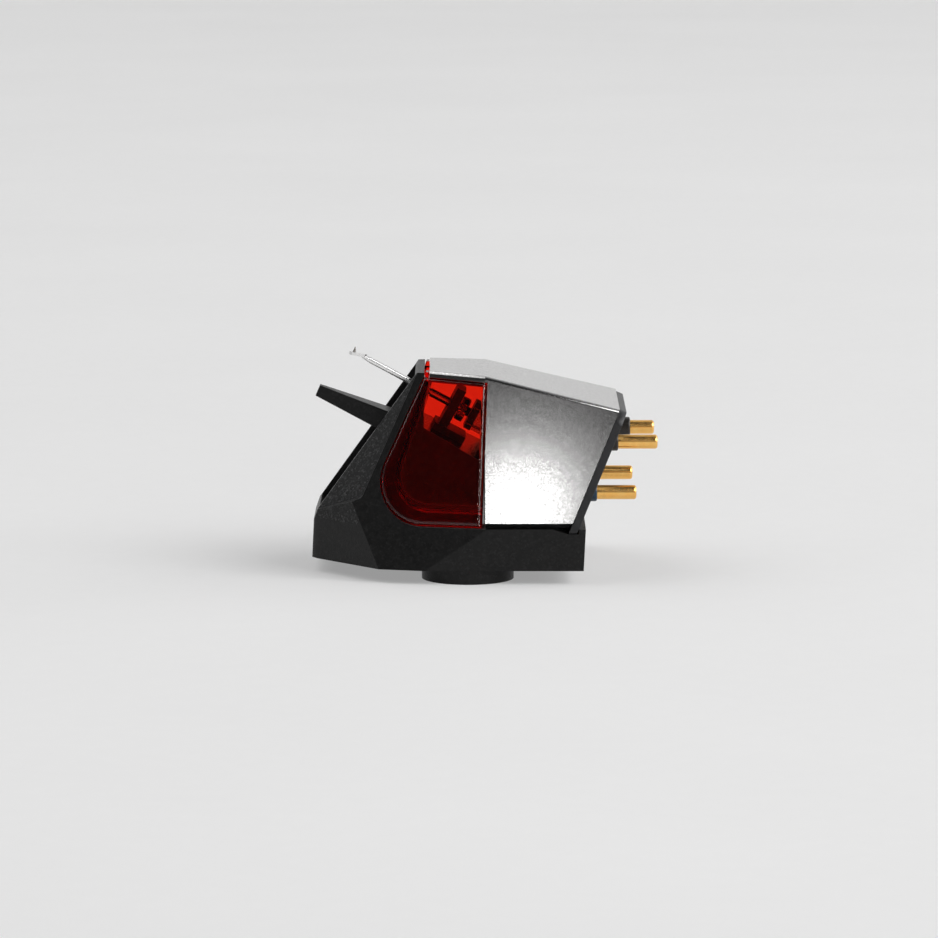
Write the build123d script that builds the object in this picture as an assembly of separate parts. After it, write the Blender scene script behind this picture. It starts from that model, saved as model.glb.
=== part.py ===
from build123d import *
import math
import os

# Moving-coil phono cartridge, standing on its two mounting bosses with the stylus up.
# Millimetres. X runs from the stylus end (-) to the terminal pins (+), Y across, Z up
# from the mounting plane. The origin is midway between the two mounting holes.

# Mounting base
HOLE_SPACING = 12.7
HOLE_DIAMETER = 2.1
HOLE_DEPTH = 4.2
BOSS_DIAMETER = 7.7
BOSS_HEIGHT = 1.16
BASE_THICKNESS = 3.48
BASE_REAR = 9.8
BASE_END_ANGLE = 2.8
FRONT_REACH = 13.13
FRONT_HALF = 2.9
CORNER_REACH = 12.7
CORNER_HALF = 3.65
SHOULDER_REACH = 6.56

# Sloping sides and roof, shared by the moulding, the cover and the metal shell
FOLD_X = 1.45
ROOF_DROP = 0.12
SIDE_ANGLE = 19.6
CHEEK_ANGLE = 13.4
ROOF_FRONT_ANGLE = 3.5
ROOF_REAR_ANGLE = 13.5
SHELL_LEDGE = 0.2
SHELL_LIFT = 0.47
SEAM_ANGLE = 2.2
SEAM_GAP = 0.06

# Nose of the moulding
NOSE_TOP = 17.02
NOSE_TOP_X = -4.22
NOSE_BACK_X = -3.65
NOSE_ANGLE = 35.8
NOSE_BEVEL_Z = 5.36
NOSE_BEVEL_ANGLE = 20.0
NOSE_TOP_INSET = 0.31
NOSE_HALF_FOOT = 3.45
CHANNEL_RIM = 0.4
CHANNEL_DEPTH = 0.5
CHANNEL_HEAD = 0.35
CHANNEL_FOOT = 0.3
PANEL_CORNER_X = -8.86
PANEL_CORNER_Z = 6.8
PANEL_CORNER_RADIUS = 0.7
PANEL_DEPTH = 0.7

# Cueing prong on the nose
PRONG_LENGTH = 5.8
PRONG_ANGLE = 23.4
PRONG_ROOT_Z = 12.69
PRONG_ROOT_WIDTH = 3.2
PRONG_ROOT_HEIGHT = 1.7
PRONG_TIP_WIDTH = 1.1
PRONG_TIP_HEIGHT = 0.98
PRONG_EMBED = 2.0
PRONG_EDGE = 0.15

# Translucent cover
COVER_WALL = 1.5
COVER_FIT = 0.05
COVER_EDGE = 0.35
COVER_ROOF = 0.45
COVER_LIP_DROP = 0.15
COVER_FRONT_BORDER = 0.35
COVER_FOOT_BORDER = 0.75
COVER_FACE = 0.6
COVER_RELIEF_ANGLE = 19.5
COVER_RELIEF_ROUNDING = 0.85
WINDOW_TOP_X = -3.5
WINDOW_ANGLE = 25.0
WINDOW_RADIUS = 3.45

# Metal shell and terminal plate
SHELL_WALL = 1.0
SHELL_FRONT_X = -3.2
SHELL_FRONT_PLATE = 0.5
SHELL_FIT = 0.1
SHELL_ROUNDING = 0.4
REAR_ANGLE = 23.6
REAR_FOOT_X = 8.7
PLATE_THICKNESS = 0.66
PLATE_DROP = 2.87
PLATE_CORNER = 1.7
PLATE_FIT = 0.02
PLATE_SINK = 0.4
PLATE_RAMP = 1.3

# Terminal pins
PIN_DIAMETER = 1.2
PIN_SHANK = 0.8
PIN_ROUNDING = 0.22
PIN_UPPER_HALF = 4.4
PIN_UPPER_DROP = 5.82
PIN_LOWER_HALF = 5.6
PIN_LOWER_RISE = 2.46
PIN_REACH = 3.8
PIN_TAIL = 1.8
TAIL_CLEARANCE = 0.2
PIN_FIT = 0.02
COLLAR_DIAMETER = 1.54
COLLAR_LENGTH = 0.5
COLLAR_ROUNDING = 0.15
LONG_COLLAR_DIAMETER = 1.72
LONG_COLLAR_LENGTH = 1.75

# Generator: places along the cantilever axis are measured forward from the pivot
PIVOT_X = 0.0
PIVOT_DROP = 3.92
AXIS_ANGLE = 28.2
DECK_DROP = 2.4
DECK_HEEL = 0.3
DAMPER_DIAMETER = 0.8
DAMPER_LENGTH = 0.4
SWING_GAP = 0.05
ARMATURE_THICKNESS = 0.4
ARMATURE_HUB = 0.84
ARMATURE_REACH = 1.15
ARMATURE_ARM = 0.45
COIL_WIRE_BUILD = 0.14
COIL_LENGTH = 0.55
COIL_START = 0.48
POLE_GAP = 0.3
POLE_THICKNESS = 0.8
POLE_HEIGHT = 1.6
POLE_HALF = 1.8
POLE_BORE = 1.24
YOKE_FOOT_THICKNESS = 0.6
YOKE_FOOT_FRONT = 2.1
YOKE_FOOT_REAR = 0.8
YOKE_FOOT_HALF = 2.2
REAR_POLE_THICKNESS = 0.6
REAR_POLE_SIZE = 2.4
MAGNET_LENGTH = 2.05
MAGNET_SIZE = 2.2
REAR_YOKE_THICKNESS = 0.7
LEAD_DIAMETER = 0.14
LEAD_BEND = 0.6
LEAD_RUN = 0.9
LEAD_SPREAD = 0.73

# Cantilever and stylus
SLEEVE_DIAMETER = 0.72
SLEEVE_LENGTH = 2.95
SLEEVE_FIT = 0.01
CANTILEVER_DIAMETER = 0.52
CANTILEVER_BORE = 0.36
CANTILEVER_START = 1.6
CANTILEVER_END = 10.35
SPADE_ANGLE = 11.0
SPADE_LENGTH = 0.92
SPADE_WIDTH = 0.62
SPADE_THICKNESS = 0.26
FLATTENING = 0.95
STYLUS_SETBACK = 0.42
STYLUS_DIAMETER = 0.28
STYLUS_HEIGHT = 0.47
STYLUS_TIP = 0.04
NOSE_BORE = 1.7

STOCK = 120.0

BASE_TOP = BOSS_HEIGHT + BASE_THICKNESS
BASE_HALF = HOLE_SPACING / 2 + BOSS_DIAMETER / 2
SHELL_FOOT = BASE_TOP + SHELL_LIFT
FOLD_Z = NOSE_TOP - ROOF_DROP
PIVOT_Z = NOSE_TOP - PIVOT_DROP
PLATE_TOP = NOSE_TOP - PLATE_DROP
PIN_UPPER_Z = NOSE_TOP - PIN_UPPER_DROP
PIN_LOWER_Z = BASE_TOP + PIN_LOWER_RISE
SHELL_FOOT_HALF = BASE_HALF - SHELL_LEDGE
COVER_ROOF_INSET = SHELL_FRONT_PLATE + COVER_FIT
SIDES = (-1, 1)


def tan(degrees):
    return math.tan(math.radians(degrees))


def slanted(degrees):
    """Sine and cosine of an angle in degrees."""
    return math.sin(math.radians(degrees)), math.cos(math.radians(degrees))


def beyond(point, normal):
    """All the space on the outer side of a plane."""
    block = Box(STOCK, STOCK, STOCK, align=(Align.CENTER, Align.CENTER, Align.MIN))
    return Plane(origin=point, z_dir=normal) * block


def side_normal(side, turn):
    return Vector(-tan(turn), side, tan(SIDE_ANGLE)).normalized()


def outside(side, turn, inset=0.0):
    """The space outside one sloping side, moved inwards by an inset."""
    normal = side_normal(side, turn)
    foot = Vector(FOLD_X, side * SHELL_FOOT_HALF, SHELL_FOOT)
    return beyond(foot - normal * inset, normal)


def outside_cheeks(inset=0.0):
    return [outside(side, CHEEK_ANGLE, inset) for side in SIDES]


def outside_flanks(inset=0.0):
    return [outside(side, 0.0, inset) for side in SIDES]


def cheek_half(x, z):
    """Half width between the two cheeks at one place."""
    return SHELL_FOOT_HALF - tan(SIDE_ANGLE) * (z - SHELL_FOOT) + tan(CHEEK_ANGLE) * (x - FOLD_X)


def flank_half(z):
    return SHELL_FOOT_HALF - tan(SIDE_ANGLE) * (z - SHELL_FOOT)


def above_roof(slope, inset=0.0):
    sine, cosine = slanted(slope)
    normal = Vector(sine, 0, cosine)
    return beyond(Vector(FOLD_X, 0, FOLD_Z) - normal * inset, normal)


def above(z):
    return beyond((0, 0, z), (0, 0, 1))


def behind_seam(offset=0.0):
    sine, cosine = slanted(SEAM_ANGLE)
    middle = (SHELL_FOOT + FOLD_Z) / 2
    return beyond((FOLD_X + offset, 0, middle), (cosine, 0, -sine))


def rear_plane_x(z):
    """Where the inner face of the terminal plate stands at one height."""
    return REAR_FOOT_X + tan(REAR_ANGLE) * (z - SHELL_FOOT)


def behind_rear(offset=0.0):
    """The space behind the terminal plate's inner face, moved back by an offset."""
    sine, cosine = slanted(REAR_ANGLE)
    normal = Vector(cosine, 0, -sine)
    return beyond(Vector(REAR_FOOT_X, 0, SHELL_FOOT) + normal * offset, normal)


def axis_frame():
    """X forward along the cantilever from the pivot, Z square to it."""
    sine, cosine = slanted(AXIS_ANGLE)
    return Plane(origin=(PIVOT_X, 0, PIVOT_Z), x_dir=(-cosine, 0, sine), z_dir=(sine, 0, cosine))


AXIS = axis_frame()


def axis_block(x_from, x_to, half_width, z_from, z_to):
    """A block along the cantilever axis."""
    block = Box(x_to - x_from, 2 * half_width, z_to - z_from)
    return AXIS * (Pos((x_from + x_to) / 2, 0, (z_from + z_to) / 2) * block)


def axis_rod(x_from, x_to, diameter):
    """A round bar along the cantilever axis."""
    rod = Cylinder(diameter / 2, x_to - x_from, rotation=(0, 90, 0))
    return AXIS * (Pos((x_from + x_to) / 2, 0, 0) * rod)


def above_deck():
    """The space over the sloping deck that carries the generator."""
    return AXIS * (Pos(0, 0, -DECK_DROP) * Box(
        STOCK, STOCK, STOCK, align=(Align.CENTER, Align.CENTER, Align.MIN)))


def solder_well():
    """The space behind the deck's heel, down to a floor under the lower pins' tails."""
    heel = AXIS.from_local_coords(Vector(-rear_yoke_end() - DECK_HEEL, 0, 0))
    return above(PIN_LOWER_Z - PIN_SHANK / 2 - TAIL_CLEARANCE) & beyond(heel, -AXIS.x_dir)


def window_prism(front=0.0, foot=0.0, angle=WINDOW_ANGLE):
    """The cover's outline in side view, grown at the front and foot, run through the full width."""
    low = BASE_TOP + COVER_FIT - foot
    high = NOSE_TOP + STOCK / 10
    rear = FOLD_X + STOCK / 10
    front_top = WINDOW_TOP_X - front / slanted(angle)[1]
    front_high = front_top + tan(angle) * (high - NOSE_TOP)
    front_low = front_top - tan(angle) * (NOSE_TOP - low)
    outline = Polygon((front_low, low), (rear, low), (rear, high), (front_high, high), align=None)
    corner = outline.vertices().sort_by(Axis.X)[0]
    outline = fillet(corner, WINDOW_RADIUS + (front + foot) / 2)
    return extrude(Plane.XZ * outline, amount=STOCK, both=True)


def nose_slope_x(z):
    return NOSE_TOP_X - tan(NOSE_ANGLE) * (NOSE_TOP - z)


def nose_top_half():
    return cheek_half(NOSE_TOP_X, NOSE_TOP) - NOSE_TOP_INSET


def nose_slope():
    """The leaning front of the nose: local Y runs down the slope from the top edge."""
    sine, cosine = slanted(NOSE_ANGLE)
    return Plane(origin=(NOSE_TOP_X, 0, NOSE_TOP), x_dir=(0, 1, 0), z_dir=(-cosine, 0, sine))


def nose_outline():
    """Base plan raised to the nose's height, then trimmed by the cheeks and the leaning front."""
    half = [
        (-FRONT_REACH, FRONT_HALF),
        (-CORNER_REACH, CORNER_HALF),
        (-SHOULDER_REACH, BASE_HALF),
        (BASE_REAR, BASE_HALF),
    ]
    plan = Polygon(*half, *[(x, -y) for x, y in reversed(half)], align=None)
    block = extrude(Pos(0, 0, BOSS_HEIGHT) * plan, amount=NOSE_TOP - BOSS_HEIGHT, dir=(0, 0, 1))
    lean_sine, lean_cosine = slanted(BASE_END_ANGLE)
    bevel_sine, bevel_cosine = slanted(NOSE_BEVEL_ANGLE)
    slope = nose_slope()
    block -= beyond((-FRONT_REACH, 0, BOSS_HEIGHT), (-lean_cosine, 0, lean_sine))
    block -= beyond((BASE_REAR, 0, BASE_TOP), (lean_cosine, 0, -lean_sine))
    block -= beyond((nose_slope_x(NOSE_BEVEL_Z), 0, NOSE_BEVEL_Z), (-bevel_cosine, 0, bevel_sine))
    block -= beyond(slope.origin, slope.z_dir)
    return block - outside_cheeks()


def panel_recess(side):
    """A shallow three-cornered recess in one side of the nose."""
    foot_z = NOSE_BEVEL_Z
    foot = Vector(nose_slope_x(foot_z), side * NOSE_HALF_FOOT, foot_z)
    head = Vector(NOSE_TOP_X, side * nose_top_half(), NOSE_TOP)
    corner_half = cheek_half(PANEL_CORNER_X, PANEL_CORNER_Z) - PANEL_DEPTH
    corner = Vector(PANEL_CORNER_X, side * corner_half, PANEL_CORNER_Z)
    normal = (head - foot).cross(corner - foot).normalized() * side
    outer = (foot + head) / 2 + nose_slope().z_dir * nose_top_half()
    outline = Polygon(
        (foot.X, foot.Z), (corner.X, corner.Z), (head.X, head.Z), (outer.X, outer.Z), align=None)
    inner_corner = outline.vertices().sort_by_distance((corner.X, corner.Z, 0))[0]
    outline = fillet(inner_corner, PANEL_CORNER_RADIUS)
    prism = extrude(Plane.XZ * outline, amount=STOCK, both=True)
    return prism & beyond(foot, normal)


def nose_channel():
    """The channel down the front of the nose, between two thin flanges."""
    length = (NOSE_TOP - NOSE_BEVEL_Z) / slanted(NOSE_ANGLE)[1]
    head = CHANNEL_HEAD
    foot = length - CHANNEL_FOOT
    taper = (NOSE_HALF_FOOT - nose_top_half()) / length
    head_half = nose_top_half() + taper * head - CHANNEL_RIM
    foot_half = nose_top_half() + taper * foot - CHANNEL_RIM
    outline = Polygon(
        (-head_half, head), (head_half, head), (foot_half, foot), (-foot_half, foot), align=None)
    return extrude(nose_slope() * outline, amount=-CHANNEL_DEPTH)


def cueing_prong():
    """A finger that tapers from its root in the nose to a blunt tip."""
    sine, cosine = slanted(PRONG_ANGLE)
    root = Vector(nose_slope_x(PRONG_ROOT_Z), 0, PRONG_ROOT_Z)
    tip = root + Vector(-cosine, 0, sine) * PRONG_LENGTH
    frame = Plane(origin=tip, x_dir=(0, 1, 0), z_dir=(cosine, 0, -sine))
    spread = (PRONG_LENGTH + PRONG_EMBED) / PRONG_LENGTH
    width = PRONG_TIP_WIDTH + (PRONG_ROOT_WIDTH - PRONG_TIP_WIDTH) * spread
    height = PRONG_TIP_HEIGHT + (PRONG_ROOT_HEIGHT - PRONG_TIP_HEIGHT) * spread
    end = frame * RectangleRounded(PRONG_TIP_WIDTH, PRONG_TIP_HEIGHT, PRONG_EDGE)
    start = frame.offset(PRONG_LENGTH + PRONG_EMBED) * RectangleRounded(width, height, PRONG_EDGE)
    return loft([end, start], ruled=True)


def plate_notch():
    """A slot across the base for the plate's foot, with a ramp down to it in front."""
    floor = BASE_TOP - PLATE_SINK
    front = rear_plane_x(floor) - PLATE_FIT
    rear = rear_plane_x(BASE_TOP) + (PLATE_THICKNESS + 2 * PLATE_FIT) / slanted(REAR_ANGLE)[1]
    outline = Polygon(
        (front - PLATE_RAMP, BASE_TOP), (front, floor), (rear, floor), (rear, BASE_TOP), align=None)
    return extrude(Plane.XZ * outline, amount=STOCK, both=True)


def body_moulding():
    """Base, bosses, nose, prong and generator deck, moulded as one piece."""
    body = nose_outline()
    for side in SIDES:
        body -= panel_recess(side)
    body -= nose_channel()
    body += cueing_prong() - beyond((NOSE_BACK_X, 0, 0), (1, 0, 0))
    pocket = window_prism(COVER_FIT, COVER_FIT) - behind_seam()
    for cheek in outside_cheeks(COVER_WALL + COVER_FIT):
        body -= pocket & cheek
    rear_space = above(BASE_TOP) & behind_seam(-SEAM_GAP)
    for flank in outside_flanks(SHELL_WALL + SHELL_FIT):
        body -= rear_space & flank
    body -= above(BASE_TOP) & behind_rear(-PLATE_FIT)
    body -= plate_notch()
    body -= above_deck() & beyond((NOSE_BACK_X, 0, 0), (1, 0, 0))
    body -= solder_well()
    body -= axis_rod(CANTILEVER_START, CANTILEVER_END, NOSE_BORE)
    for side in SIDES:
        centre = Pos(0, side * HOLE_SPACING / 2, 0)
        upward = (Align.CENTER, Align.CENTER, Align.MIN)
        body += centre * Cylinder(BOSS_DIAMETER / 2, BOSS_HEIGHT, align=upward)
        body -= centre * Cylinder(HOLE_DIAMETER / 2, HOLE_DEPTH, align=upward)
    return body


def cheek_edges(solid, side):
    """The edges round the outer face of one cheek, nearest to the base's front corner first."""
    normal = side_normal(side, CHEEK_ANGLE)
    faces = solid.faces().filter_by(lambda face: face.normal_at().dot(normal) > 0.999)
    edges = faces.sort_by_distance((0, side * STOCK, 0))[0].edges()
    return edges.sort_by_distance((-FRONT_REACH, side * BASE_HALF, BASE_TOP))


def cover_relief():
    """The space behind the cover's two faces, rounded along its front, corner and foot."""
    relief = window_prism(-COVER_FRONT_BORDER, -COVER_FOOT_BORDER, COVER_RELIEF_ANGLE)
    relief -= outside_cheeks(COVER_FACE)
    relief -= above_roof(ROOF_FRONT_ANGLE, COVER_ROOF_INSET + COVER_ROOF)
    rims = [edge for side in SIDES for edge in cheek_edges(relief, side)[:3]]
    return fillet(rims, COVER_RELIEF_ROUNDING)


def cover_lips():
    """The cheeks' tops, which stand up in the slot between the nose and the shell's roof."""
    front = NOSE_BACK_X + COVER_FIT
    rear = SHELL_FRONT_X - COVER_FIT
    lips = Pos((front + rear) / 2, 0, 0) * Box(rear - front, STOCK, STOCK) & window_prism()
    lips -= outside_cheeks(COVER_EDGE)
    lips -= Box(STOCK, STOCK, STOCK) - outside_cheeks(COVER_WALL)
    lips -= above_roof(ROOF_FRONT_ANGLE, COVER_LIP_DROP)
    return lips & above_roof(ROOF_FRONT_ANGLE, COVER_ROOF_INSET + COVER_ROOF)


def window_cover():
    """Translucent saddle: two sloping cheeks joined under the shell's front plate."""
    blank = window_prism() - outside_cheeks()
    blank -= above_roof(ROOF_FRONT_ANGLE, COVER_ROOF_INSET)
    blank -= behind_seam(-SEAM_GAP)
    rims = [edge for side in SIDES for edge in cheek_edges(blank, side)]
    cover = fillet(rims, COVER_EDGE)
    between_cheeks = Box(STOCK, STOCK, STOCK) - outside_cheeks(COVER_WALL)
    cover -= between_cheeks - above_roof(ROOF_FRONT_ANGLE, COVER_ROOF_INSET + COVER_ROOF)
    cover -= between_cheeks & beyond((SHELL_FRONT_X, 0, 0), (-1, 0, 0))
    return cover - cover_relief() + cover_lips()


def runs_along_roof(edge):
    """Whether an edge lies where a side meets the roof."""
    middle = edge @ 0.5
    slope = ROOF_FRONT_ANGLE if middle.X < FOLD_X else ROOF_REAR_ANGLE
    roof = FOLD_Z - tan(slope) * (middle.X - FOLD_X)
    return abs(middle.Z - roof) < PLATE_FIT and abs((edge % 0.5).X) > 0.5


def metal_shell():
    """Machined shell: roof and flanks at the rear, a thin roof plate over the cover in front."""
    size = STOCK / 2
    block = Pos(SHELL_FRONT_X, 0, SHELL_FOOT) * Box(
        size, size, size, align=(Align.MIN, Align.CENTER, Align.MIN))
    roofs = [above_roof(ROOF_FRONT_ANGLE), above_roof(ROOF_REAR_ANGLE)]
    block -= outside_flanks() + outside_cheeks() + roofs
    block -= behind_rear()
    crest = block.edges().filter_by(runs_along_roof)
    block = fillet(crest, SHELL_ROUNDING)
    hollow = Box(STOCK, STOCK, STOCK) - outside_flanks(SHELL_WALL)
    hollow -= [above_roof(ROOF_FRONT_ANGLE, SHELL_WALL), above_roof(ROOF_REAR_ANGLE, SHELL_WALL)]
    in_front = Box(STOCK, STOCK, STOCK) - behind_seam()
    in_front -= above_roof(ROOF_FRONT_ANGLE, SHELL_FRONT_PLATE)
    return block - hollow - in_front


def terminal_plate():
    """Leaning insulating plate that closes the shell and carries the pins."""
    sine, cosine = slanted(REAR_ANGLE)
    frame = Plane(
        origin=(REAR_FOOT_X, 0, SHELL_FOOT), x_dir=(0, 1, 0), z_dir=(cosine, 0, -sine))
    foot = BASE_TOP - PLATE_SINK - 2 * PLATE_THICKNESS
    low = (foot - SHELL_FOOT) / cosine
    high = (PLATE_TOP - SHELL_FOOT) / cosine
    high_half = flank_half(PLATE_TOP)
    half = [(SHELL_FOOT_HALF, low), (SHELL_FOOT_HALF, 0), (high_half, high)]
    outline = Polygon(*half, *[(-y, z) for y, z in reversed(half)], align=None)
    outline = fillet(outline.vertices().group_by(Axis.Y)[-1], PLATE_CORNER)
    plate = extrude(frame.offset(PLATE_FIT) * outline, amount=PLATE_THICKNESS)
    plate -= Box(STOCK, STOCK, STOCK) - above(BASE_TOP - PLATE_SINK + PLATE_FIT)
    for half, z in pin_places():
        plate -= Pos(0, half, z) * Cylinder(
            PIN_SHANK / 2 + PIN_FIT, STOCK, rotation=(0, 90, 0))
    return plate


def pin_places():
    return [
        (side * half, z)
        for side in SIDES
        for half, z in ((PIN_UPPER_HALF, PIN_UPPER_Z), (PIN_LOWER_HALF, PIN_LOWER_Z))
    ]


def pin_tail_x(z):
    return rear_plane_x(z) - PIN_TAIL


def pin_x(z, length):
    """A place along a pin, measured out from the plate's outer face."""
    return rear_plane_x(z) + (PLATE_FIT + PLATE_THICKNESS) / slanted(REAR_ANGLE)[1] + length


def cross_rod(x_from, x_to, diameter):
    """A round bar along X."""
    rod = Cylinder(diameter / 2, x_to - x_from, rotation=(0, 90, 0))
    return Pos((x_from + x_to) / 2, 0, 0) * rod


def terminal_pin(y, z, collar_length):
    """Gold pin with a rounded end, and a thinner shank through the plate to a solder tail."""
    shoulder = pin_x(z, collar_length + PIN_FIT)
    pin = cross_rod(shoulder, pin_x(z, PIN_REACH), PIN_DIAMETER)
    pin = fillet(pin.edges().sort_by(Axis.X)[-1], PIN_ROUNDING)
    return Pos(0, y, z) * (pin + cross_rod(pin_tail_x(z), shoulder, PIN_SHANK))


def pin_collar(y, z, diameter, length):
    """Insulating collar seated on the plate round one pin's shank."""
    end = pin_x(z, length)
    ring = cross_rod(0, end, diameter)
    ring = fillet(ring.edges().sort_by(Axis.X)[-1], COLLAR_ROUNDING)
    ring -= cross_rod(0, end, PIN_SHANK + 2 * PIN_FIT)
    return Pos(0, y, z) * ring & behind_rear(PLATE_FIT + PLATE_THICKNESS)


def front_yoke():
    """Foot on the deck with an upright pole, bored for the cantilever."""
    front = armature_front() + POLE_GAP
    foot = axis_block(
        -YOKE_FOOT_REAR, YOKE_FOOT_FRONT, YOKE_FOOT_HALF, -DECK_DROP, YOKE_FOOT_THICKNESS - DECK_DROP)
    pole = axis_block(
        front, front + POLE_THICKNESS, POLE_HALF, YOKE_FOOT_THICKNESS - DECK_DROP, POLE_HEIGHT)
    bore = axis_rod(front - POLE_THICKNESS, front + 2 * POLE_THICKNESS, POLE_BORE)
    return foot + pole - bore


def damper_end():
    return DAMPER_LENGTH / 2 + SWING_GAP


def armature_front():
    return damper_end() + ARMATURE_THICKNESS


def rear_pole():
    half = REAR_POLE_SIZE / 2
    return axis_block(-damper_end() - REAR_POLE_THICKNESS, -damper_end(), half, -half, half)


def magnet_rear():
    return damper_end() + REAR_POLE_THICKNESS + MAGNET_LENGTH


def magnet():
    half = MAGNET_SIZE / 2
    return axis_block(-magnet_rear(), MAGNET_LENGTH - magnet_rear(), half, -half, half)


def rear_yoke_end():
    return magnet_rear() + REAR_YOKE_THICKNESS


def rear_yoke():
    """Upright on the deck that holds the magnet from behind."""
    half = MAGNET_SIZE / 2
    return axis_block(-rear_yoke_end(), -magnet_rear(), half, -DECK_DROP, half)


def damper():
    return axis_rod(-DAMPER_LENGTH / 2, DAMPER_LENGTH / 2, DAMPER_DIAMETER)


def armature_arm(angle, start, end, width, depth):
    """A bar that runs out from the axis, turned about it."""
    bar = Box(depth, end - start, width)
    middle = damper_end() + ARMATURE_THICKNESS / 2
    return AXIS * (Pos(middle, 0, 0) * Rot(angle, 0, 0) * Pos(0, (start + end) / 2, 0) * bar)


def armature():
    """Four-armed coil former on a round hub."""
    former = axis_rod(damper_end(), armature_front(), ARMATURE_HUB)
    for angle in (45, 135, 225, 315):
        former += armature_arm(angle, 0, ARMATURE_REACH, ARMATURE_ARM, ARMATURE_THICKNESS)
    return former


def coil(angles):
    """Windings on two opposite arms of the former."""
    build = 2 * COIL_WIRE_BUILD
    end = COIL_START + COIL_LENGTH
    windings = []
    for angle in angles:
        winding = armature_arm(
            angle, COIL_START, end, ARMATURE_ARM + build, ARMATURE_THICKNESS + build)
        windings.append(winding - armature_arm(
            angle, 0, ARMATURE_REACH, ARMATURE_ARM, ARMATURE_THICKNESS))
    return Compound(children=[piece for winding in windings for piece in winding.solids()])


def cantilever_sleeve():
    """Joint pipe between the armature and the cantilever."""
    sleeve = axis_rod(armature_front(), armature_front() + SLEEVE_LENGTH, SLEEVE_DIAMETER)
    bore = CANTILEVER_DIAMETER + 2 * SLEEVE_FIT
    return sleeve - axis_rod(CANTILEVER_START - SLEEVE_FIT, CANTILEVER_END, bore)


def spade_frame():
    """X along the flattened tip of the cantilever, Z towards the record."""
    sine, cosine = slanted(SPADE_ANGLE)
    bend = AXIS.from_local_coords(Vector(CANTILEVER_END, 0, 0))
    return Plane(origin=bend, x_dir=(-cosine, 0, sine), z_dir=(sine, 0, cosine))


def cantilever():
    """Thin tube whose end is flattened and bent into a spade."""
    round_end = CANTILEVER_END - FLATTENING
    tube = axis_rod(CANTILEVER_START, round_end, CANTILEVER_DIAMETER)
    tube -= axis_rod(CANTILEVER_START - SLEEVE_FIT, round_end - CANTILEVER_DIAMETER, CANTILEVER_BORE)
    frame = spade_frame()
    across = Plane(origin=frame.origin, x_dir=(0, 1, 0), z_dir=frame.x_dir)
    end = Plane(
        origin=AXIS.from_local_coords(Vector(round_end, 0, 0)), x_dir=(0, 1, 0), z_dir=AXIS.x_dir)
    tube += loft([
        end * Circle(CANTILEVER_DIAMETER / 2),
        across * Ellipse(SPADE_WIDTH / 2, SPADE_THICKNESS / 2),
    ])
    spade = SlotOverall(SPADE_LENGTH + SPADE_WIDTH, SPADE_WIDTH)
    spade = Pos(SPADE_LENGTH / 2 - SPADE_WIDTH / 2, 0) * spade
    blade = extrude(frame.offset(-SPADE_THICKNESS / 2) * spade, amount=SPADE_THICKNESS)
    seat = Pos(stylus_x(), 0, 0) * Cylinder(STYLUS_DIAMETER / 2, 4 * SPADE_THICKNESS)
    return tube + blade - frame * seat


def stylus_x():
    return SPADE_LENGTH - STYLUS_SETBACK


def stylus():
    """Diamond: a round shank through the spade and a cone above it."""
    radius = STYLUS_DIAMETER / 2
    low = -SPADE_THICKNESS / 2
    high = SPADE_THICKNESS / 2
    profile = Polygon(
        (0, low), (radius, low), (radius, high), (STYLUS_TIP / 2, high + STYLUS_HEIGHT),
        (0, high + STYLUS_HEIGHT), align=None)
    return spade_frame() * (Pos(stylus_x(), 0, 0) * revolve(Plane.XZ * profile, Axis.Z))


def lead(y_side, z_side, pin_y, pin_z):
    """Fine wire from beside the rear pole, along the magnet, to one pin's tail."""
    across = REAR_POLE_SIZE / 2 + LEAD_DIAMETER
    up = z_side * LEAD_SPREAD
    local = [
        Vector(-damper_end() - SWING_GAP, -y_side * across, up),
        Vector(-rear_yoke_end(), -y_side * across, up),
    ]
    end = Vector(pin_tail_x(pin_z), pin_y, pin_z)
    points = [AXIS.from_local_coords(point) for point in local]
    points += [end - Vector(LEAD_RUN, 0, 0), end]
    path = FilletPolyline(*points, radius=LEAD_BEND)
    section = Plane(origin=path @ 0, z_dir=path % 0) * Circle(LEAD_DIAMETER / 2)
    return sweep(section, path=path)


def subparts():
    """Each named piece of the cartridge."""
    pieces = {
        "body_moulding": body_moulding(),
        "window_cover": window_cover(),
        "metal_shell": metal_shell(),
        "terminal_plate": terminal_plate(),
        "front_yoke": front_yoke(),
        "rear_pole": rear_pole(),
        "magnet": magnet(),
        "rear_yoke": rear_yoke(),
        "damper": damper(),
        "armature": armature(),
        "coil_left": coil((45, 225)),
        "coil_right": coil((135, 315)),
        "cantilever_sleeve": cantilever_sleeve(),
        "cantilever": cantilever(),
        "stylus": stylus(),
    }
    rows = (
        ("upper", 1, PIN_UPPER_HALF, PIN_UPPER_Z),
        ("lower", -1, PIN_LOWER_HALF, PIN_LOWER_Z),
    )
    for side_name, side in (("right", -1), ("left", 1)):
        for row, z_side, half, z in rows:
            name = f"{side_name}_{row}"
            long = name == "left_upper"
            diameter = LONG_COLLAR_DIAMETER if long else COLLAR_DIAMETER
            length = LONG_COLLAR_LENGTH if long else COLLAR_LENGTH
            pieces[f"pin_{name}"] = terminal_pin(side * half, z, length)
            pieces[f"collar_{name}"] = pin_collar(side * half, z, diameter, length)
            pieces[f"lead_{name}"] = lead(side, z_side, side * half, z)
    return pieces


os.makedirs("parts", exist_ok=True)
for node, piece in subparts().items():
    export_step(piece, f"parts/{node}.step")
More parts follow.
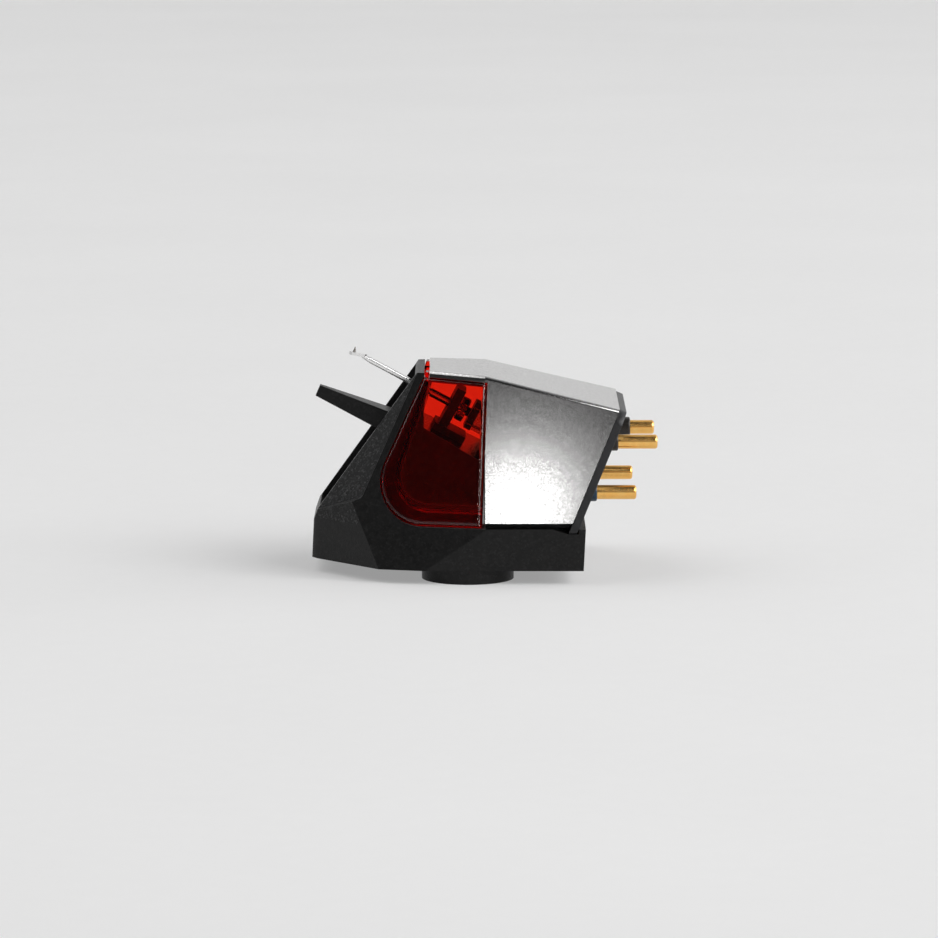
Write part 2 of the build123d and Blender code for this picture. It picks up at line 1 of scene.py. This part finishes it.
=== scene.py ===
import math
import bpy
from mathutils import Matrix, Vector

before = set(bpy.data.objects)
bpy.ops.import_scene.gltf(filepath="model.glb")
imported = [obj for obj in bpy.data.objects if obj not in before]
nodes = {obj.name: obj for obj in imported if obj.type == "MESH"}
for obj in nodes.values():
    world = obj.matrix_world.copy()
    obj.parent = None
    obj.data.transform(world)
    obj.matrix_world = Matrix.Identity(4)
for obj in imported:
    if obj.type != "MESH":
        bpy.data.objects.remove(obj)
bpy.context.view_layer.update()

MM = 0.001
CORNERS = ("right_upper", "right_lower", "left_upper", "left_lower")

# Where the cover's cheeks lie: their slopes and a point at the foot of their fold
CHEEK_ANGLE = math.radians(13.4)
SIDE_ANGLE = math.radians(19.6)
CHEEK_FOOT = Vector((1.45, 10.0, 5.11)) * MM

# The slanted front of the cover's pocket, through a point at its top, and the pocket's other limits
POCKET_ANGLE = math.radians(25)
POCKET_TOP = Vector((-3.58, 0, 17.02)) * MM
POCKET_FRONT = -7.6 * MM
POCKET_REAR = 1.5 * MM
POCKET_FOOT = 4.62 * MM

# Between these heights the painted glow at the pocket's foot fades into the pocket's walls, which are
# painted paler too
FOOT_GLOW_LOW = 4.65 * MM
FOOT_GLOW_HIGH = 5.5 * MM

# How deep behind the cheeks' faces the cover's rim and the walls of its pocket lie, in millimetres
RIM_DEPTH = 1.05
RIM_SPREAD = 0.4
POCKET_DEPTH = 0.9
POCKET_SPREAD = 0.78

# How much rougher the cover's rim is than its faces, and the roughness left inside the housing
RIM_ROUGHNESS = 0.28
INSIDE_SHARE = 0.25

# The nose's side panels are the faces whose normal leans forward past these values of its X; on them
# the glass flecks are crowded into painted glints
NOSE_FULL = -0.55
NOSE_NONE = -0.4

# Where most values of a noise texture lie, and a narrower cut with more contrast
NOISE_CUT = (0.3, 0.7)
CRISP_CUT = (0.35, 0.65)

# The sockets of a Mix node that work on colours
MIX_FACTOR, MIX_LOW, MIX_HIGH, MIX_RESULT = 0, 6, 7, 2

# Broken edges: what is welded and dissolved before, and how sharp an edge must be
WELD_DISTANCE = 0.0005 * MM
FLAT_ANGLE = math.radians(0.5)
EDGE_ANGLE = math.radians(22)
EDGE_SEGMENTS = 2
FLAT_FACE_WEIGHT = 80

# The pale sheet, in metres, and its glow on the floor and from a height on the wall
SHEET_HALF_WIDTH = 2.2
SHEET_FRONT = -2.2
COVE_START = 0.75
COVE_RADIUS = 0.45
COVE_STEPS = 16
WALL_TOP = 1.3
FLOOR_GLOW = 0.31
WALL_GLOW = 0.36
WALL_GLOW_HEIGHT = 0.12

# The dark part of the room before the camera: its height, its edges and the pale band below it
DARK_RISE = math.radians(48)
DARK_INNER = math.radians(42)
DARK_OUTER = math.radians(54)
HORIZON_LOW = math.radians(14)
HORIZON_HIGH = math.radians(21)

# The room's colour and strength, dim and in reflections, and the background that the camera sees
ROOM_COLOUR = (0.98, 0.99, 1.0, 1)
ROOM_DIM = 0.03
ROOM_PALE = 0.40
BACKGROUND = (0.74, 0.74, 0.74, 1)

# The photo's view
CAMERA_PLACE = Vector((0.1, -445.06, 74.73)) * MM
CAMERA_PITCH = 8.5
LENS_LENGTH = 203.8
SENSOR_WIDTH = 36.0
CLIP_START = 0.01
CLIP_END = 50.0


class Nodes:
    """A node tree and the short ways in which it is filled."""

    def __init__(self, tree):
        self.tree = tree

    def node(self, kind, inputs=None, **settings):
        """Adds a node with its settings, and links or sets its inputs."""
        made = self.tree.nodes.new(kind)
        for key, value in settings.items():
            setattr(made, key, value)
        for socket, value in (inputs or {}).items():
            if isinstance(value, bpy.types.NodeSocket):
                self.tree.links.new(value, made.inputs[socket])
            else:
                made.inputs[socket].default_value = value
        return made

    def maths(self, operation, *values):
        """What a Math node makes of some values."""
        made = self.node("ShaderNodeMath", dict(enumerate(values)), operation=operation)
        return made.outputs[0]

    def both(self, first, second):
        """The product of two factors."""
        return self.maths("MULTIPLY", first, second)

    def either(self, first, second):
        """The greater of two factors."""
        return self.maths("MAXIMUM", first, second)

    def over(self, value, limit):
        """One where a value exceeds a limit, else nought."""
        return self.maths("GREATER_THAN", value, limit)

    def near(self, value, centre, spread):
        """One where a value lies within a spread of a centre, else nought."""
        return self.maths("COMPARE", value, centre, spread)

    def span(self, factor, low, high, start=0.0, end=1.0):
        """Maps a factor from one range of numbers to another."""
        made = self.node("ShaderNodeMapRange", {
            "Value": factor, "From Min": start, "From Max": end, "To Min": low, "To Max": high})
        return made.outputs["Result"]

    def part(self, vector, axis):
        """One coordinate of a vector."""
        return self.node("ShaderNodeSeparateXYZ", {"Vector": vector}).outputs[axis]

    def along(self, vector, direction):
        """How far a vector reaches along a direction."""
        made = self.node("ShaderNodeVectorMath", {0: vector, 1: direction}, operation="DOT_PRODUCT")
        return made.outputs["Value"]

    def seen_directly(self):
        """One for the camera's rays, else nought."""
        return self.node("ShaderNodeLightPath").outputs["Is Camera Ray"]

    def passed_on(self):
        """One for the rays that metal and glass pass on, else nought."""
        rays = self.node("ShaderNodeLightPath").outputs
        return self.either(rays["Is Glossy Ray"], rays["Is Transmission Ray"])


class Surface(Nodes):
    """A Principled material whose texture nodes work in the object's own metres."""

    def __init__(self, name, **sockets):
        self.material = bpy.data.materials.new(name)
        self.material.use_nodes = True
        super().__init__(self.material.node_tree)
        self.shader = self.tree.nodes["Principled BSDF"]
        self.place = self.node("ShaderNodeTexCoord").outputs["Object"]
        for socket, value in sockets.items():
            self.shader.inputs[socket.replace("_", " ")].default_value = value

    def noise(self, size_mm, detail):
        """Smooth noise with features of about this size."""
        made = self.node("ShaderNodeTexNoise", {
            "Vector": self.place, "Scale": 1 / (size_mm * MM), "Detail": detail})
        return made.outputs["Fac"]

    def grains(self, size_mm):
        """A random number for each small cell of the surface."""
        cells = self.node("ShaderNodeTexVoronoi", {
            "Vector": self.place, "Scale": 1 / (size_mm * MM)})
        split = self.node("ShaderNodeSeparateColor", {"Color": cells.outputs["Color"]})
        return split.outputs["Red"]

    def waves(self, scale, distortion, direction):
        """Regular bands across the surface."""
        made = self.node("ShaderNodeTexWave", {
            "Vector": self.place, "Scale": scale, "Distortion": distortion},
            bands_direction=direction)
        return made.outputs["Fac"]

    def ramp(self, factor, low, high, start, end):
        """Fades a factor from one colour to another between two limits."""
        made = self.node("ShaderNodeValToRGB", {"Fac": factor})
        stops = made.color_ramp.elements
        stops[0].position = start
        stops[0].color = (*low, 1)
        stops[1].position = end
        stops[1].color = (*high, 1)
        return made.outputs["Color"]

    def clouds(self, size_mm, detail, low, high, cut=NOISE_CUT):
        """Noise that drifts from one colour to another."""
        return self.ramp(self.noise(size_mm, detail), low, high, *cut)

    def uneven(self, size_mm, detail, low, high):
        """Noise that drifts from one number to another."""
        return self.span(self.noise(size_mm, detail), low, high, *NOISE_CUT)

    def mix(self, factor, low, high):
        """One colour where a factor is nought, and another where it is one."""
        made = self.node("ShaderNodeMix", {
            MIX_FACTOR: factor, MIX_LOW: low, MIX_HIGH: high}, data_type="RGBA")
        return made.outputs[MIX_RESULT]

    def bump(self, height, depth_mm, strength):
        """The normal of a surface that is raised by a factor."""
        made = self.node("ShaderNodeBump", {
            "Height": height, "Distance": depth_mm * MM, "Strength": strength})
        return made.outputs["Normal"]

    def absorb(self, colour, density):
        """Tints the light on its way through a clear solid."""
        volume = self.node("ShaderNodeVolumeAbsorption", {
            "Color": (*colour, 1), "Density": density})
        output = self.tree.nodes["Material Output"]
        self.tree.links.new(volume.outputs["Volume"], output.inputs["Volume"])

    def wire(self, **links):
        """Links the shader's sockets and gives back the material."""
        for socket, value in links.items():
            self.tree.links.new(value, self.shader.inputs[socket.replace("_", " ")])
        return self.material


def cheek_depth(surface):
    """How far a point lies behind the outer faces of the cover's two cheeks, in millimetres."""
    x, y, z = surface.node("ShaderNodeSeparateXYZ", {"Vector": surface.place}).outputs
    folded = surface.node("ShaderNodeCombineXYZ", {
        "X": x, "Y": surface.maths("ABSOLUTE", y), "Z": z})
    from_foot = surface.node("ShaderNodeVectorMath", {
        0: folded.outputs[0], 1: CHEEK_FOOT}, operation="SUBTRACT")
    inward = Vector((math.tan(CHEEK_ANGLE), -1, -math.tan(SIDE_ANGLE))).normalized()
    return surface.along(from_foot.outputs[0], inward / MM)


def housing(surface):
    """One in the part of the moulding that carries the cover, else nought."""
    x = surface.part(surface.place, "X")
    z = surface.part(surface.place, "Z")
    rearward = Vector((1, 0, -math.tan(POCKET_ANGLE)))
    behind_front = surface.over(surface.along(surface.place, rearward), POCKET_TOP.dot(rearward))
    between_ends = surface.both(surface.over(x, POCKET_FRONT), surface.over(POCKET_REAR, x))
    return surface.both(surface.both(behind_front, between_ends), surface.over(z, POCKET_FOOT))


def moulding():
    """Glass-filled black moulding: a fine grain, glass flecks with painted glints crowded on the nose,
    a pocket painted paler as painted light with a painted glow at its foot, smooth inside.
    """
    surface = Surface("black_moulding", Specular_IOR_Level=0.2)
    depth = cheek_depth(surface)
    carrier = housing(surface)
    pocket = surface.both(carrier, surface.near(depth, POCKET_DEPTH, POCKET_SPREAD))
    inside = surface.both(carrier, surface.over(depth, POCKET_DEPTH + POCKET_SPREAD))
    height = surface.part(surface.place, "Z")
    normal_x = surface.part(surface.node("ShaderNodeTexCoord").outputs["Normal"], "X")
    faces_forward = surface.span(normal_x, 1.0, 0.0, NOSE_FULL, NOSE_NONE)
    nose_panel = surface.both(faces_forward, surface.over(height, POCKET_FOOT))
    black = surface.clouds(0.5, 4, (0.010, 0.010, 0.010), (0.016, 0.0157, 0.0154))
    # Glass flecks, sparse everywhere; crowded on the nose's side panels they are painted glints,
    # standing in for light grazing those panels
    flecks_and_glints = surface.ramp(surface.grains(0.15), (0.006, 0.006, 0.006), (0.12, 0.12, 0.121),
                          start=0.4, end=1.0)
    fleck_and_glint_share = surface.both(surface.span(nose_panel, 0.1, 0.75), surface.grains(0.21))
    outside = surface.mix(fleck_and_glint_share, black, flecks_and_glints)
    # Painted light: the pocket's walls behind the red cover are painted paler than the black outside,
    # standing in for light that reaches them through the cover, and paler still towards the foot as a
    # painted glow along the bottom
    lit_wall_tint = surface.clouds(0.5, 4, (0.055, 0.055, 0.055), (0.076, 0.076, 0.076))
    foot_glow_tint = surface.clouds(0.5, 4, (0.12, 0.12, 0.12), (0.15, 0.15, 0.15))
    foot_glow_share = surface.span(height, 1.0, 0.0, FOOT_GLOW_LOW, FOOT_GLOW_HIGH)
    tint = surface.mix(pocket, outside, surface.mix(foot_glow_share, lit_wall_tint, foot_glow_tint))
    matte = surface.uneven(0.2, 3, 0.3, 0.46)
    rough = surface.both(matte, surface.span(inside, 1.0, INSIDE_SHARE))
    grain = surface.bump(surface.noise(0.11, 2), depth_mm=0.03, strength=0.6)
    return surface.wire(Base_Color=tint, Roughness=rough, Normal=grain)


def blasted_aluminium():
    """Bead-blasted aluminium with a fine sparkle."""
    surface = Surface("shell_metal", Metallic=1.0)
    tint = surface.clouds(0.2, 4, (0.45, 0.445, 0.44), (0.65, 0.645, 0.64), CRISP_CUT)
    rough = surface.span(surface.grains(0.1), 0.155, 0.19)
    grain = surface.bump(surface.noise(0.12, 3), depth_mm=0.004, strength=0.03)
    return surface.wire(Base_Color=tint, Roughness=rough, Normal=grain)


def red_window():
    """Clear red moulding with polished faces and an unpolished rim inside."""
    surface = Surface("red_cover", Transmission_Weight=1.0, IOR=1.49)
    surface.absorb((0.995, 0.2525, 0.031), density=4000.0)
    tint = surface.clouds(2.5, 2, (0.97, 0.80, 0.74), (1.0, 0.88, 0.82))
    polish = surface.uneven(0.6, 3, 0.01, 0.04)
    rim = surface.near(cheek_depth(surface), RIM_DEPTH, RIM_SPREAD)
    rough = surface.maths("MULTIPLY_ADD", rim, RIM_ROUGHNESS, polish)
    return surface.wire(Base_Color=tint, Roughness=rough)


def gold():
    """Gold plate, turned, with faint rings and handling marks."""
    surface = Surface("pin_gold", Metallic=1.0, Anisotropic=0.85, Anisotropic_Rotation=0.25)
    around = surface.node("ShaderNodeTangent", direction_type="RADIAL", axis="X").outputs[0]
    tint = surface.clouds(0.5, 4, (0.97, 0.52, 0.14), (1.0, 0.60, 0.19))
    rough = surface.uneven(0.3, 3, 0.2, 0.27)
    rings = surface.waves(scale=6000.0, distortion=1.5, direction="X")
    turned = surface.bump(rings, depth_mm=0.003, strength=0.1)
    return surface.wire(Base_Color=tint, Roughness=rough, Normal=turned, Tangent=around)


def satin_plastic(name, low, high, roughness):
    """Fine-grained satin plastic."""
    surface = Surface(name)
    tint = surface.clouds(0.3, 4, low, high)
    rough = surface.uneven(0.1, 2, roughness - 0.06, roughness + 0.06)
    grain = surface.bump(surface.noise(0.08, 2), depth_mm=0.008, strength=0.4)
    return surface.wire(Base_Color=tint, Roughness=rough, Normal=grain)


def drawn_metal(name, low, high, roughness):
    """Metal with fine marks and a slightly uneven polish."""
    surface = Surface(name, Metallic=1.0)
    tint = surface.clouds(0.2, 5, low, high)
    rough = surface.uneven(0.08, 3, roughness - 0.07, roughness + 0.07)
    marks = surface.bump(surface.noise(0.06, 3), depth_mm=0.004, strength=0.15)
    return surface.wire(Base_Color=tint, Roughness=rough, Normal=marks)


def copper_windings():
    """Enamelled copper wire laid in close turns."""
    surface = Surface("copper_wire", Metallic=1.0, Coat_Weight=0.5, Coat_Roughness=0.15)
    tint = surface.clouds(0.15, 3, (0.58, 0.23, 0.09), (0.78, 0.38, 0.17))
    turns = surface.waves(scale=5200.0, distortion=0.6, direction="DIAGONAL")
    rough = surface.span(turns, 0.2, 0.36)
    ridges = surface.bump(turns, depth_mm=0.02, strength=0.8)
    return surface.wire(Base_Color=tint, Roughness=rough, Normal=ridges)


def diamond():
    """Polished diamond, faintly brown."""
    surface = Surface("diamond", Transmission_Weight=0.75, IOR=2.0)
    tint = surface.clouds(0.1, 2, (0.30, 0.26, 0.22), (0.46, 0.42, 0.37))
    rough = surface.uneven(0.05, 2, 0.04, 0.12)
    return surface.wire(Base_Color=tint, Roughness=rough)


def dress(material, *names):
    """Gives some nodes their material."""
    for name in names:
        nodes[name].data.materials.clear()
        nodes[name].data.materials.append(material)


def round_edges(width_mm, *names):
    """Breaks the sharp edges of some nodes, as moulding and machining leave them."""
    for name in names:
        weld = nodes[name].modifiers.new("weld", "WELD")
        weld.merge_threshold = WELD_DISTANCE
        plain = nodes[name].modifiers.new("plain", "DECIMATE")
        plain.decimate_type = "DISSOLVE"
        plain.angle_limit = FLAT_ANGLE
        bevel = nodes[name].modifiers.new("edges", "BEVEL")
        bevel.width = width_mm * MM
        bevel.segments = EDGE_SEGMENTS
        bevel.limit_method = "ANGLE"
        bevel.angle_limit = EDGE_ANGLE
        bevel.use_clamp_overlap = True
        shading = nodes[name].modifiers.new("shading", "WEIGHTED_NORMAL")
        shading.weight = FLAT_FACE_WEIGHT


def floor_and_cove():
    """A pale sheet that lies under the object and curves up far behind it."""
    profile = [(SHEET_FRONT, 0.0), (COVE_START, 0.0)]
    for step in range(1, COVE_STEPS + 1):
        angle = math.radians(90 * step / COVE_STEPS)
        profile.append((COVE_START + COVE_RADIUS * math.sin(angle),
                        COVE_RADIUS - COVE_RADIUS * math.cos(angle)))
    profile.append((COVE_START + COVE_RADIUS, WALL_TOP))
    vertices = [(side * SHEET_HALF_WIDTH, y, z) for y, z in profile for side in (-1, 1)]
    faces = [(2 * i, 2 * i + 1, 2 * i + 3, 2 * i + 2) for i in range(len(profile) - 1)]
    mesh = bpy.data.meshes.new("floor")
    mesh.from_pydata(vertices, [], faces)
    mesh.polygons.foreach_set("use_smooth", [True] * len(faces))
    sheet = bpy.data.objects.new("floor", mesh)
    bpy.context.scene.collection.objects.link(sheet)
    mesh.materials.append(paper())


def paper():
    """Pale matte paper that glows in the camera's view and in reflections, and lights nothing else."""
    surface = Surface("paper", Specular_IOR_Level=0.2, Emission_Color=(1, 1, 1, 1))
    tint = surface.clouds(60, 3, (0.56, 0.558, 0.557), (0.58, 0.578, 0.577))
    rough = surface.uneven(2, 2, 0.75, 0.9)
    height = surface.part(surface.place, "Z")
    seen = surface.either(surface.seen_directly(), surface.passed_on())
    glow = surface.span(height, FLOOR_GLOW, WALL_GLOW, 0.0, WALL_GLOW_HEIGHT)
    return surface.wire(Base_Color=tint, Roughness=rough,
                        Emission_Strength=surface.both(seen, glow))


def room():
    """Dim surroundings, pale in reflections but dark before the camera, and a pale background."""
    world = bpy.data.worlds.new("room")
    world.use_nodes = True
    bpy.context.scene.world = world
    sky = Nodes(world.node_tree)
    facing = sky.node("ShaderNodeTexCoord").outputs["Generated"]
    toward_dark = Vector((0, -math.cos(DARK_RISE), math.sin(DARK_RISE)))
    outside_dark = sky.span(sky.along(facing, toward_dark), 1.0, 0.0,
                            math.cos(DARK_OUTER), math.cos(DARK_INNER))
    near_horizon = sky.span(sky.part(facing, "Z"), 1.0, 0.0,
                            math.sin(HORIZON_LOW), math.sin(HORIZON_HIGH))
    pale = sky.both(sky.passed_on(), sky.either(outside_dark, near_horizon))
    surroundings = sky.tree.nodes["Background"]
    surroundings.inputs["Color"].default_value = ROOM_COLOUR
    sky.tree.links.new(sky.span(pale, ROOM_DIM, ROOM_PALE), surroundings.inputs["Strength"])
    background = sky.node("ShaderNodeBackground", {"Color": BACKGROUND})
    choose = sky.node("ShaderNodeMixShader", {
        0: sky.seen_directly(), 1: surroundings.outputs[0], 2: background.outputs[0]})
    sky.tree.links.new(choose.outputs[0], sky.tree.nodes["World Output"].inputs["Surface"])


def softbox(name, place, aim, size, radiance):
    """A rectangular light of the given surface brightness, hidden from the camera."""
    lamp = bpy.data.lights.new(name, "AREA")
    lamp.shape = "RECTANGLE"
    lamp.size, lamp.size_y = size
    lamp.energy = radiance * math.pi * size[0] * size[1]
    light = bpy.data.objects.new(name, lamp)
    light.location = place
    light.rotation_mode = "QUATERNION"
    light.rotation_quaternion = (Vector(aim) - Vector(place)).to_track_quat("-Z", "Y")
    light.visible_camera = False
    bpy.context.scene.collection.objects.link(light)


def photo_camera():
    """A long lens, a little above the table and pitched down to the object."""
    lens = bpy.data.cameras.new("camera")
    lens.sensor_width = SENSOR_WIDTH
    lens.lens = LENS_LENGTH
    lens.clip_start = CLIP_START
    lens.clip_end = CLIP_END
    camera = bpy.data.objects.new("camera", lens)
    camera.location = CAMERA_PLACE
    camera.rotation_euler = (math.radians(90 - CAMERA_PITCH), 0, 0)
    bpy.context.scene.collection.objects.link(camera)
    bpy.context.scene.camera = camera


dress(moulding(), "body_moulding")
dress(blasted_aluminium(), "metal_shell")
dress(red_window(), "window_cover")
dress(gold(), *[f"pin_{corner}" for corner in CORNERS])
dress(satin_plastic("plate_black", (0.012, 0.012, 0.013), (0.02, 0.02, 0.022), 0.42),
      "terminal_plate")
dress(satin_plastic("collar_black", (0.014, 0.012, 0.01), (0.028, 0.022, 0.018), 0.4),
      "collar_right_upper", "collar_left_upper", "collar_left_lower")
dress(satin_plastic("collar_blue", (0.006, 0.03, 0.065), (0.012, 0.055, 0.11), 0.36),
      "collar_right_lower")
dress(drawn_metal("pole_steel", (0.03, 0.029, 0.027), (0.055, 0.052, 0.049), 0.42),
      "front_yoke", "rear_pole", "rear_yoke")
dress(drawn_metal("magnet_metal", (0.48, 0.47, 0.45), (0.60, 0.59, 0.57), 0.24), "magnet")
dress(satin_plastic("damper_rubber", (0.012, 0.012, 0.012), (0.024, 0.023, 0.022), 0.62), "damper")
dress(drawn_metal("former_iron", (0.16, 0.155, 0.15), (0.25, 0.24, 0.23), 0.42), "armature")
dress(copper_windings(), "coil_left", "coil_right", *[f"lead_{corner}" for corner in CORNERS])
dress(drawn_metal("cantilever_metal", (0.91, 0.905, 0.90), (0.97, 0.965, 0.96), 0.28),
      "cantilever", "cantilever_sleeve")
dress(diamond(), "stylus")
round_edges(0.12, "body_moulding", "terminal_plate")
round_edges(0.14, "metal_shell")

floor_and_cove()
room()
softbox("left", place=(-0.8, 0.25, 1.15), aim=(0, 0.1, 0), size=(1.8, 1.3), radiance=1.15)
softbox("right", place=(1.25, 0.1, 0.6), aim=(0, 0, 0), size=(1.6, 1.1), radiance=2.1)
softbox("front_right", place=(0.85, -0.49, 0.69), aim=(0, 0, 0), size=(0.9, 0.7), radiance=4.0)
# A small lamp close by, for the bright patch low on the shell's flank
softbox("kicker", place=(0.0053, -0.113, 0.0667), aim=(0.0042, -0.0098, 0.0054),
        size=(0.007, 0.006), radiance=13.0)
photo_camera()
bpy.context.scene.view_settings.view_transform = "Standard"
